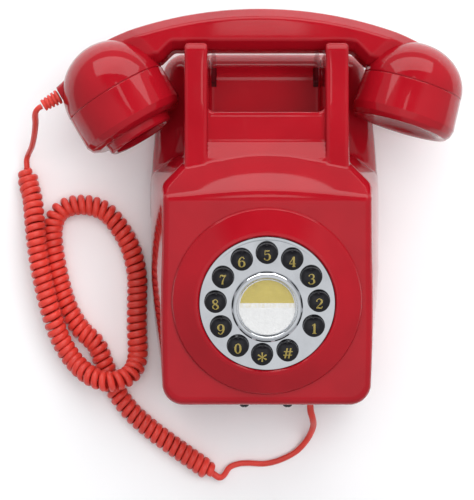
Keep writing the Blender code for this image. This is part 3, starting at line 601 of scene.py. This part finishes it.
def dial():
    ring = rounded([
        (37.0, 7.1, 0.5), (38.8, 6.8, 1.2), (50.0, 1.9, 1.0), (50.8, 0.9, 0.4), (50.8, 0.3), (37.9, 0.3),
        (37.9, -4.5), (36.5, -4.5), (36.2, 6.4, 0.4),
    ])
    surround = lathe("dial_bezel", ring, RED, dial_frame(), 160, closed=True)
    part(surround, "telephone", "red_plastic", "dial_surround")
    dish = rounded([
        (0, 5.0), (21.2, 5.0, 5.0), (34.0, 6.0, 8.0), (36.0, 6.25, 0.35), (36.0, 5.0), (21.2, 3.8), (0, 3.8),
    ])
    plate = lathe("dial_face", dish, CHROME, dial_frame(), 160)
    holes = [rod(f"hole_{key}", KEY_R + KEY_HOLE_GAP, 1, 9, dial_frame() @ at) for key, at in key_places()]
    combine(plate, holes, "DIFFERENCE")
    resharpen(plate)
    part(plate, "telephone", "chrome", "dial_plate")
    hub = rounded([
        (16.2, 8.4, 0.5), (17.8, 8.3, 0.9), (18.8, 7.5, 1.0), (19.0, 6.6, 0.2), (19.0, 5.3), (15.7, 5.3),
        (15.7, 7.8, 0.3),
    ])
    middle = dial_frame() @ Matrix.Translation((0, -HUB_DROP * MM, 0))
    ring_piece = lathe("hub_bezel", hub, CHROME, middle, 128, closed=True)
    part(ring_piece, "telephone", "chrome", "hub_ring")
    disc = [(0, 5.8), (15.0, 5.8), (15.2, 5.6), (15.2, 5.3), (0, 5.3)]
    part(lathe("label_disc", disc, CARD, middle, 96), "telephone", "card", "number_card")
    pane = rounded([(0, 7.4), (14.4, 7.2, 0.4), (15.2, 6.8, 0.3), (15.2, 6.1), (0, 6.1)])
    part(lathe("label_pane", pane, CLEAR, middle, 96), "telephone", "clear_plastic", "card_window")


def key_places():
    """Each key with its place on the dial, in the order of a rotary dial."""
    for i, key in enumerate(KEYS):
        turn = math.radians(FIRST_KEY_DEG + KEY_STEP_DEG * i)
        x, y = KEY_CIRCLE_R * math.cos(turn), KEY_CIRCLE_R * math.sin(turn)
        yield key, Matrix.Translation((x * MM, y * MM, 0))


# Figures as strokes of (x, y, width) on a field 1 high, thick downstrokes and thin hairlines
HAIR, STEM = 0.07, 0.19
FIGURES = {
    "1": [
        [(-0.20, 0.30, HAIR), (-0.06, 0.38, HAIR), (0.04, 0.47, 0.11)],
        [(0.03, 0.47, STEM), (0.03, -0.47, STEM)],
        [(-0.18, -0.47, HAIR), (0.24, -0.47, HAIR)],
    ],
    "2": [
        [(-0.24, 0.20, 0.15), (-0.21, 0.36, HAIR), (0.0, 0.47, HAIR), (0.20, 0.34, 0.15), (0.23, 0.17, STEM),
         (0.12, 0.0, 0.14), (-0.10, -0.22, HAIR), (-0.27, -0.44, HAIR)],
        [(-0.27, -0.42, 0.11), (-0.05, -0.40, 0.15), (0.14, -0.44, 0.13), (0.26, -0.36, HAIR),
         (0.29, -0.24, HAIR)],
    ],
    "3": [
        [(-0.23, 0.28, 0.14), (-0.15, 0.42, HAIR), (0.02, 0.47, HAIR), (0.19, 0.36, 0.14), (0.20, 0.20, 0.16),
         (0.10, 0.07, HAIR), (-0.05, 0.04, HAIR)],
        [(-0.05, 0.04, HAIR), (0.14, 0.0, 0.10), (0.25, -0.16, STEM), (0.23, -0.33, 0.16),
         (0.04, -0.47, HAIR), (-0.18, -0.43, HAIR), (-0.25, -0.28, 0.14)],
    ],
    "4": [
        [(0.10, 0.47, 0.10), (-0.10, 0.12, HAIR), (-0.30, -0.20, HAIR)],
        [(-0.30, -0.21, HAIR), (0.32, -0.21, HAIR)],
        [(0.12, 0.47, STEM), (0.12, -0.47, STEM)],
        [(-0.04, -0.47, HAIR), (0.28, -0.47, HAIR)],
    ],
    "5": [
        [(0.24, 0.44, 0.10), (0.0, 0.42, 0.11), (-0.20, 0.45, HAIR)],
        [(-0.19, 0.45, HAIR), (-0.21, 0.05, HAIR)],
        [(-0.21, 0.05, HAIR), (0.0, 0.14, HAIR), (0.19, 0.07, 0.14), (0.26, -0.15, STEM), (0.20, -0.34, 0.15),
         (0.0, -0.47, HAIR), (-0.19, -0.41, HAIR), (-0.24, -0.26, 0.14)],
    ],
    "6": [
        [(0.22, 0.30, 0.12), (0.14, 0.44, HAIR), (-0.03, 0.45, HAIR), (-0.20, 0.25, 0.15),
         (-0.25, -0.05, STEM), (-0.21, -0.33, 0.17), (-0.02, -0.47, HAIR), (0.20, -0.36, 0.14),
         (0.25, -0.16, STEM), (0.18, 0.03, 0.13), (0.0, 0.11, HAIR), (-0.20, -0.02, HAIR)],
    ],
    "7": [
        [(-0.27, 0.22, HAIR), (-0.24, 0.40, HAIR), (-0.12, 0.44, 0.14), (0.08, 0.38, 0.15),
         (0.28, 0.45, HAIR)],
        [(0.28, 0.45, HAIR), (0.08, 0.15, HAIR), (-0.03, -0.15, 0.14), (-0.06, -0.43, STEM)],
    ],
    "8": [
        [(0.0, 0.05, 0.11), (-0.18, 0.16, 0.15), (-0.20, 0.33, 0.15), (0.0, 0.47, HAIR), (0.19, 0.35, 0.11),
         (0.17, 0.18, HAIR), (0.0, 0.05, 0.13), (-0.20, -0.10, HAIR), (-0.24, -0.29, 0.12),
         (0.0, -0.47, HAIR), (0.23, -0.33, 0.16), (0.21, -0.14, 0.17), (0.0, 0.05, 0.13)],
    ],
    "0": [
        [(0.0, 0.47, HAIR), (-0.19, 0.30, 0.15), (-0.24, 0.0, STEM), (-0.19, -0.30, 0.15), (0.0, -0.47, HAIR),
         (0.19, -0.30, 0.15), (0.24, 0.0, STEM), (0.19, 0.30, 0.15), (0.0, 0.47, HAIR)],
    ],
    "star": [
        [(0.46 * math.cos(a), 0.46 * math.sin(a), 0.17), (0, 0, 0.06)]
        for a in (math.radians(90 + 60 * i) for i in range(6))
    ],
    "hash": [
        [(-0.26, -0.50, 0.14), (-0.06, 0.50, 0.14)],
        [(0.08, -0.50, 0.14), (0.28, 0.50, 0.14)],
        [(-0.38, 0.17, 0.09), (0.45, 0.17, 0.09)],
        [(-0.43, -0.18, 0.09), (0.40, -0.18, 0.09)],
    ],
}
FIGURES["9"] = [[(-x, -y, w) for x, y, w in stroke] for stroke in FIGURES["6"]]


def spline(points, parts):
    """Points along the smooth curve through the given ones, whatever their dimension."""
    pts = np.asarray(points, float)
    pts = np.vstack([2 * pts[0] - pts[1], pts, 2 * pts[-1] - pts[-2]])
    t = (np.arange(parts) / parts)[:, None]
    rows = []
    for p0, p1, p2, p3 in zip(pts, pts[1:], pts[2:], pts[3:]):
        rows.append(0.5 * (2 * p1 + (p2 - p0) * t + (2 * p0 - 5 * p1 + 4 * p2 - p3) * t**2
                           + (3 * p1 - p0 - 3 * p2 + p3) * t**3))
    return np.vstack([*rows, pts[-2]])


def key_dome(r):
    """Height of a key's crowned top at a distance from its middle."""
    return KEY_TOP - KEY_DOME_R + math.sqrt(KEY_DOME_R**2 - min(r, KEY_R) ** 2)


def figure(name, strokes, matrix):
    """Raised ink on a key's dome: each stroke is a ribbon with flat ends."""
    points, faces = [], []
    for stroke in strokes:
        line = spline(stroke, 8 if len(stroke) > 2 else 4)
        ahead = np.gradient(line[:, :2], axis=0)
        across = np.stack([-ahead[:, 1], ahead[:, 0]], 1) / np.hypot(*ahead.T)[:, None]
        half = across * line[:, 2:] / 2
        rows = [[line[i, :2] + half[i] * side for side in (1, 0, -1)] for i in range(len(line))]
        for lift in (INK_PROUD, INK_SUNK):
            first = len(points)
            for row in rows:
                for x, y in row:
                    x, y = x * FIGURE_TALL, y * FIGURE_TALL + FIGURE_DROP
                    points.append((x, y, key_dome(math.hypot(x, y)) + lift))
            if lift == INK_PROUD:
                upper = first
        lower, count = first, len(rows)
        for i in range(count - 1):
            for j in range(2):
                a, b = i * 3 + j, (i + 1) * 3 + j
                faces.append((upper + a, upper + a + 1, upper + b + 1, upper + b))
                faces.append((lower + a, lower + b, lower + b + 1, lower + a + 1))
            for j in (0, 2):
                a, b = i * 3 + j, (i + 1) * 3 + j
                faces.append((upper + a, upper + b, lower + b, lower + a))
        for i in (0, count - 1):
            for j in range(2):
                a = i * 3 + j
                faces.append((upper + a, lower + a, lower + a + 1, upper + a + 1))
    return add_mesh(name, points, faces, INK_GOLD, matrix=matrix)


def keys():
    top = [(r, key_dome(r)) for r in np.linspace(0, KEY_R - 0.7, 10)]
    edge = rounded([
        top[-1], (KEY_R - 0.1, key_dome(KEY_R) - 0.1, 0.55), (KEY_R, 7.6, 0.3), (KEY_R, 3.4, 0.2),
    ])
    profile = top[:-1] + edge + [(6.6, 3.2), (6.6, 2.4), (0, 2.4)]
    for key, place in key_places():
        matrix = dial_frame() @ place
        cap = lathe(f"key_top_{key}", profile, KEY_BLACK, matrix, 64)
        part(cap, f"key_{key}", "key_plastic", f"key_{key}")
        ink = figure(f"key_figure_{key}", FIGURES[key], matrix)
        part(ink, f"key_{key}", "key_plastic")


# ---------------------------------------------------------------- handset


def end_frame(seam, turn_deg):
    """At the middle of a cap's seam, with local Z out of the cap's mouth."""
    axis = Vector((math.sin(math.radians(turn_deg)), -math.cos(math.radians(turn_deg)), 0))
    basis = axis.to_track_quat("Z", "Y").to_matrix().to_4x4()
    return Matrix.Translation((seam[0] * MM, seam[1] * MM, HANDSET_Z * MM)) @ basis


def bar_field(x, y, z):
    """The bar of the handset: flat sides along an arc, each end folding away past a diagonal crease."""
    px, py = x - ARC_CENTRE[0], y - ARC_CENTRE[1]
    down = ARC_R - np.hypot(px, py)
    turn = np.degrees(np.arctan2(px, py))
    lateral = np.abs(z - HANDSET_Z)
    skewed = np.abs(turn - SKEW_DEG)
    past = np.maximum(skewed - CREASE_DEG + (down - CREASE_MID) * CREASE_LEAN, 0)
    half = HANDLE_HALF_Z - FOLD * past - FOLD_MORE * past**2
    straight = ARC_R - (UNDERSIDE_Y - ARC_CENTRE[1]) / np.cos(np.radians(turn))
    deepened = np.clip(skewed - DEEPEN_DEG, 0, DEEPEN_OVER_DEG) * DEEPEN_PER_DEG
    deep = np.maximum(HANDLE_DEEP, straight) + deepened
    side = lateral - half
    shape = both(side * FOLD_SQUARE, -down, 1.5)
    shape = both(shape, down - deep, 1.5)
    top_facet = (side * TOP_FACET_DOWN - (down - TOP_FACET_DOWN) * TOP_FACET_IN) / TOP_FACET_LONG
    low_facet = (down - deep + LOW_FACET_UP) * 0.80 + (side + LOW_FACET_IN) * 0.60
    shape = both(shape, top_facet, 0.9)
    shape = both(shape, low_facet, 0.9)
    return both(shape, (np.abs(turn) - END_DEG) * MM_PER_DEG, 4.0)


def handset():
    """The bar and its two hollow domes, as one moulding."""
    ends = (
        ("mouth", end_frame(MOUTH_SEAM, MOUTH_TURN), MOUTH_R, MOUTH_DOME),
        ("ear", end_frame(EAR_SEAM, EAR_TURN), EAR_R, EAR_DOME),
    )
    handle = add_mesh("handset_moulding", *skin(bar_field, (-112, 62, 34), (106, 124, 74), 0.9), RED)
    adds, cuts = [], []
    for name, matrix, radius, height in ends:
        arc = [math.radians(90 * i / 36) for i in range(36)]
        dome = [(radius * math.sin(a), height * math.cos(a)) for a in arc]
        dome += [(radius, 0.6), (radius - 0.35, GAP), (0, GAP)]
        outside = matrix @ Matrix.Rotation(math.pi, 4, "X")
        adds.append(lathe(f"{name}_dome", dome, None, outside, 160))
        inner, deep = radius - CAP_WALL, height - CAP_WALL
        hollow = [(inner * math.sin(a), deep * math.cos(a)) for a in arc[::3]]
        hollow += [(inner, -2), (0, -2)]
        cuts.append(lathe(f"{name}_hollow", hollow, None, outside, 48))
    boss = rounded([(0, -0.3), (5.0, -0.3, 0.5), (6.8, -8.0), (0, -8.0)])
    adds.append(lathe("relief_boss", boss, None, relief_frame(), 64))
    combine(handle, adds, "UNION")
    combine(handle, cuts, "DIFFERENCE")
    resharpen(handle, 24.0)
    part(handle, "handset", "red_plastic", "handset_handle")


def pierced_cap(name, profile, matrix, hole_places, hole_r, node):
    """A turned cap with a few sound holes through its grille."""
    cap = lathe(f"{name}_cap", profile, RED, matrix, 160)
    holes = [
        rod(f"{name}_hole_{i}", hole_r, 10, 30, matrix @ Matrix.Translation((x * MM, y * MM, 0)), 24)
        for i, (x, y) in enumerate(hole_places)
    ]
    combine(cap, holes, "DIFFERENCE")
    resharpen(cap)
    part(cap, "handset", "red_plastic", node)


def mouth_cap():
    profile = rounded([
        (0, 25.2), (15.0, 25.6, 0.8), (16.2, 28.0, 0.6), (18.3, 28.4, 0.8), (19.5, 27.2, 0.8),
        (19.9, 23.4, 0.7), (24.3, 23.6, 2.0), (28.0, 21.8, 2.2), (29.8, 18.3, 0.4), (29.6, 0.5, 0.2),
        (29.3, GAP), (27.2, GAP), (27.4, 17.6), (24.0, 20.4), (17.2, 20.8), (17.0, 22.8), (0, 22.8),
    ])
    turns = [math.radians(60 * i) for i in range(6)]
    places = [(8.5 * math.cos(a), 8.5 * math.sin(a)) for a in turns]
    pierced_cap("mouth", profile, end_frame(MOUTH_SEAM, MOUTH_TURN), places, 1.2, "mouthpiece_cap")


def ear_cap():
    bowl = spline([(0, 18.6), (8.0, 19.0), (16.0, 20.8), (22.5, 23.4)], 8)
    profile = [tuple(p) for p in bowl[:-1]] + rounded([
        tuple(bowl[-1]), (26.2, 23.9, 1.8), (28.4, 21.4, 1.8), (29.5, 17.6, 0.4), (28.1, 0.5, 0.2),
        (27.8, GAP), (25.6, GAP), (26.8, 17.4), (22.5, 20.8), (16.0, 18.4), (8.0, 16.6), (0, 16.2),
    ])
    places = [(4.5 * (i - 1), 0) for i in range(3)]
    pierced_cap("ear", profile, end_frame(EAR_SEAM, EAR_TURN), places, 0.9, "earpiece_cap")


def relief_frame():
    """Where the cord leaves the mouth dome, with local Z along the sleeve."""
    turn = math.radians(RELIEF_TURN)
    basis = Vector((math.cos(turn), math.sin(turn), 0)).to_track_quat("Z", "Y").to_matrix().to_4x4()
    return Matrix.Translation((RELIEF_START[0] * MM, RELIEF_START[1] * MM, HANDSET_Z * MM)) @ basis


def strain_relief():
    """The sleeve on the cord: ribs that get smaller away from the dome, on a thinner core."""
    corners = [(0, RELIEF_LONG)]
    pitch = RELIEF_LONG / RELIEF_RIBS
    for i in reversed(range(RELIEF_RIBS)):
        rib, low = RIB_R - RIB_TAPER * i, i * pitch
        corners += [(rib, low + pitch * 0.98, 0.35), (rib, low + pitch * 0.42, 0.35)]
        if i:
            corners += [(RELIEF_CORE_R, low + pitch * 0.36, 0.2), (RELIEF_CORE_R, low + pitch * 0.04, 0.2)]
    corners += [(RELIEF_CORE_R, 0.4), (0, 0.4)]
    sleeve = lathe("relief_sleeve", rounded(corners, 3), CORD, relief_frame(), 48)
    part(sleeve, "handset", "cord_plastic", "handset_strain_relief")


# ---------------------------------------------------------------- small pieces on the low wall


def low_wall_pieces():
    """The cord's collar and the two dark cross-head screws."""
    collar = rounded([
        (2.4, 1.2, 0.15), (4.4, 0.8, 0.3), (4.4, 0.3), (3.3, 0.3), (3.3, -2.9), (4.6, -2.9), (4.6, -4.4),
        (2.1, -4.4), (2.1, 1.2, 0.15),
    ])
    ring = lathe("cord_collar", collar, CORD, low_wall_frame(*CORD_EXIT), 48, closed=True)
    part(ring, "telephone", "cord_plastic", "cord_grommet")
    head = rounded([
        (0, 1.9), (1.4, 1.7, 0.8), (2.5, 0.9, 0.3), (2.6, 0.3), (1.4, 0.3), (1.4, -5.0), (0, -5.6),
    ])
    for side, name in ((1, "right"), (-1, "left")):
        matrix = low_wall_frame(side * CASE_SCREW[0], CASE_SCREW[1])
        screw = lathe(f"screw_{name}", head, DARK_STEEL, matrix, 48)
        quarter = Matrix.Rotation(math.pi / 2, 4, "Z")
        cross = [
            block(f"cross_{i}", (3.0, 0.6, 1.2), (0, 0, 1.9), turned)
            for i, turned in enumerate((matrix, matrix @ quarter))
        ]
        combine(screw, cross, "DIFFERENCE")
        resharpen(screw)
        part(screw, "telephone", "dark_screw", f"case_screw_{name}")


# ---------------------------------------------------------------- cord


def carried_frames(line):
    """A sideways direction at each point of a line, carried along without twisting."""
    ahead = np.gradient(line, axis=0)
    ahead /= np.linalg.norm(ahead, axis=1)[:, None]
    side = np.cross(ahead[0], (0.0, 0.0, 1.0))
    sides = []
    for direction in ahead:
        side = side - direction * (side @ direction)
        side = side / np.linalg.norm(side)
        sides.append(side)
    return ahead, np.array(sides)


def even_line(points, spacing):
    """The smooth curve through the points, evenly stepped, with the distance travelled at each step."""
    line = spline(points, 24)
    travelled = np.concatenate([[0], np.cumsum(np.linalg.norm(np.diff(line, axis=0), axis=1))])
    wanted = np.linspace(0, travelled[-1], round(travelled[-1] / spacing) + 1)
    return np.stack([np.interp(wanted, travelled, axis) for axis in line.T], 1), wanted


def cord():
    """The curly cord: one flattened wire wound about the coil's route, with plain tails at both ends."""
    per_turn, around = 22, 12
    spacing = COIL_PITCH / per_turn
    line, travelled = even_line(HANDSET_TAIL[:-1] + COIL_ROUTE + BASE_TAIL[1:], spacing)
    coil_start = even_line(HANDSET_TAIL[:-1] + COIL_ROUTE[:1], spacing)[1][-1]
    coil_end = travelled[-1] - even_line(COIL_ROUTE[-1:] + BASE_TAIL[1:], spacing)[1][-1]
    ramp = COIL_PITCH * 1.1
    gate = np.clip((travelled - coil_start) / ramp, 0, 1) * np.clip((coil_end - travelled) / ramp, 0, 1)
    gate = gate * gate * (3 - 2 * gate)
    uneven = 1 + 0.03 * np.sin(travelled * 190) + 0.02 * np.sin(travelled * 71 + 1.0)
    phase = np.cumsum(np.where(gate > 0, 2 * math.pi / per_turn * uneven, 0.0))
    ahead, sides = carried_frames(line)
    ups = np.cross(ahead, sides)
    outward = np.cos(phase)[:, None] * sides + np.sin(phase)[:, None] * ups
    path = line + outward * (COIL_R * gate)[:, None]
    along = np.gradient(path, axis=0)
    along /= np.linalg.norm(along, axis=1)[:, None]
    thick = outward - along * (outward * along).sum(1)[:, None]
    thick /= np.linalg.norm(thick, axis=1)[:, None]
    wide = np.cross(along, thick)
    keep = (gate > 0) | (np.arange(len(line)) % 4 == 0)
    path, thick, wide = path[keep], thick[keep], wide[keep]
    turns = np.arange(around) * 2 * math.pi / around
    rings = path[:, None] + (
        thick[:, None] * (np.cos(turns) * WIRE_THICK / 2)[None, :, None]
        + wide[:, None] * (np.sin(turns) * WIRE_WIDE / 2)[None, :, None]
    )
    count = len(path)
    index = np.arange(count * around).reshape(count, around)
    ahead_index = np.roll(index, -1, axis=1)
    corners = (index[:-1], ahead_index[:-1], ahead_index[1:], index[1:])
    faces = np.stack(corners, axis=2).reshape(-1, 4).tolist()
    faces += [index[0][::-1].tolist(), index[-1].tolist()]
    wire = add_mesh("curly_cord", rings.reshape(-1, 3) / MM, faces, CORD, 60.0)
    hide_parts("cord_tail_handset", "cord_coil", "cord_tail_base")
    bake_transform(wire)


# ---------------------------------------------------------------- stage


def area_light(name, place, target, size, radiance, glossy=True):
    """A soft panel aimed at a point; a panel that isn't glossy lights the scene without being mirrored."""
    light = bpy.data.lights.new(name, "AREA")
    light.shape = "RECTANGLE"
    light.size, light.size_y = size
    light.energy = radiance * math.pi * size[0] * size[1]
    obj = bpy.data.objects.new(name, light)
    obj.location = place
    obj.rotation_euler = (Vector(target) - Vector(place)).to_track_quat("-Z", "Y").to_euler()
    obj.visible_glossy = glossy
    bpy.context.scene.collection.objects.link(obj)


def stage():
    """A white table under a soft box overhead, a tall window past the handset and a dim grey room."""
    corners = ((-1, -1), (1, -1), (1, 1), (-1, 1))
    points = [(x * TABLE_HALF, y * TABLE_HALF, -TABLE_DROP) for x, y in corners]
    table = add_mesh("table_top", points, [(0, 1, 2, 3)], None)
    look = Look("table_white", (0.83, 0.83, 0.84), Roughness=0.5)
    look.colour(look.blend(look.spread(look.noise(9.0), 0.0, 1.0), (0.93, 0.93, 0.935), (0.95, 0.95, 0.955)))
    table.data.materials.append(look.material)
    room()
    area_light("fill", (0.36, 0.30, 1.5), (0, 0.05, 0), (1.6, 1.6), 2.8, glossy=False)
    area_light("ceiling", (0.0, -0.40, 1.55), (0, -0.05, 0.09), (1.1, 0.75), 0.26)
    area_light("strip", (0.024, 0.46, 1.5), (0.024, 0.46, 0), (0.15, 0.25), 1.7)
    area_light("window", (0.0, 1.02, 0.669), (0, 0.02, 0.08), (1.9, 0.87), 1.95)
    bpy.context.scene.view_settings.view_transform = "Standard"


def room():
    """A grey surround with a dark patch between the window and the ceiling, which the bezel mirrors."""
    world = bpy.data.worlds.new("studio")
    world.use_nodes = True
    tree = world.node_tree
    sky = tree.nodes["Background"]
    sky.inputs["Color"].default_value = (0.94, 0.96, 1.0, 1.0)
    place = tree.nodes.new("ShaderNodeTexCoord")
    toward = tree.nodes.new("ShaderNodeVectorMath")
    toward.operation = "DOT_PRODUCT"
    toward.inputs[1].default_value = (0.0, 0.5, 0.866)
    fade = tree.nodes.new("ShaderNodeMapRange")
    for name, value in (("From Min", 0.86), ("From Max", 0.94), ("To Min", 0.40), ("To Max", 0.03)):
        fade.inputs[name].default_value = value
    tree.links.new(place.outputs["Generated"], toward.inputs[0])
    tree.links.new(toward.outputs["Value"], fade.inputs["Value"])
    tree.links.new(fade.outputs["Result"], sky.inputs["Strength"])
    bpy.context.scene.world = world


def camera():
    data = bpy.data.cameras.new("camera")
    data.lens, data.sensor_width = LENS, SENSOR
    obj = bpy.data.objects.new("camera", data)
    obj.location = CAMERA_AT
    bpy.context.scene.collection.objects.link(obj)
    bpy.context.scene.camera = obj


def dress_frame_nodes():
    """Gives each CAD node that still shows the detailed material of its slot."""
    slots = {row["node"]: row["material_slot"] for row in frame["record"]["subparts"]}
    for name, node in frame["nodes"].items():
        look = SLOT_LOOKS.get(slots.get(name), GREY)
        node.data.materials.clear()
        node.data.materials.append(look)


camera()
cord()
case()
dial()
keys()
handset()
mouth_cap()
ear_cap()
strain_relief()
low_wall_pieces()
dress_frame_nodes()
stage()
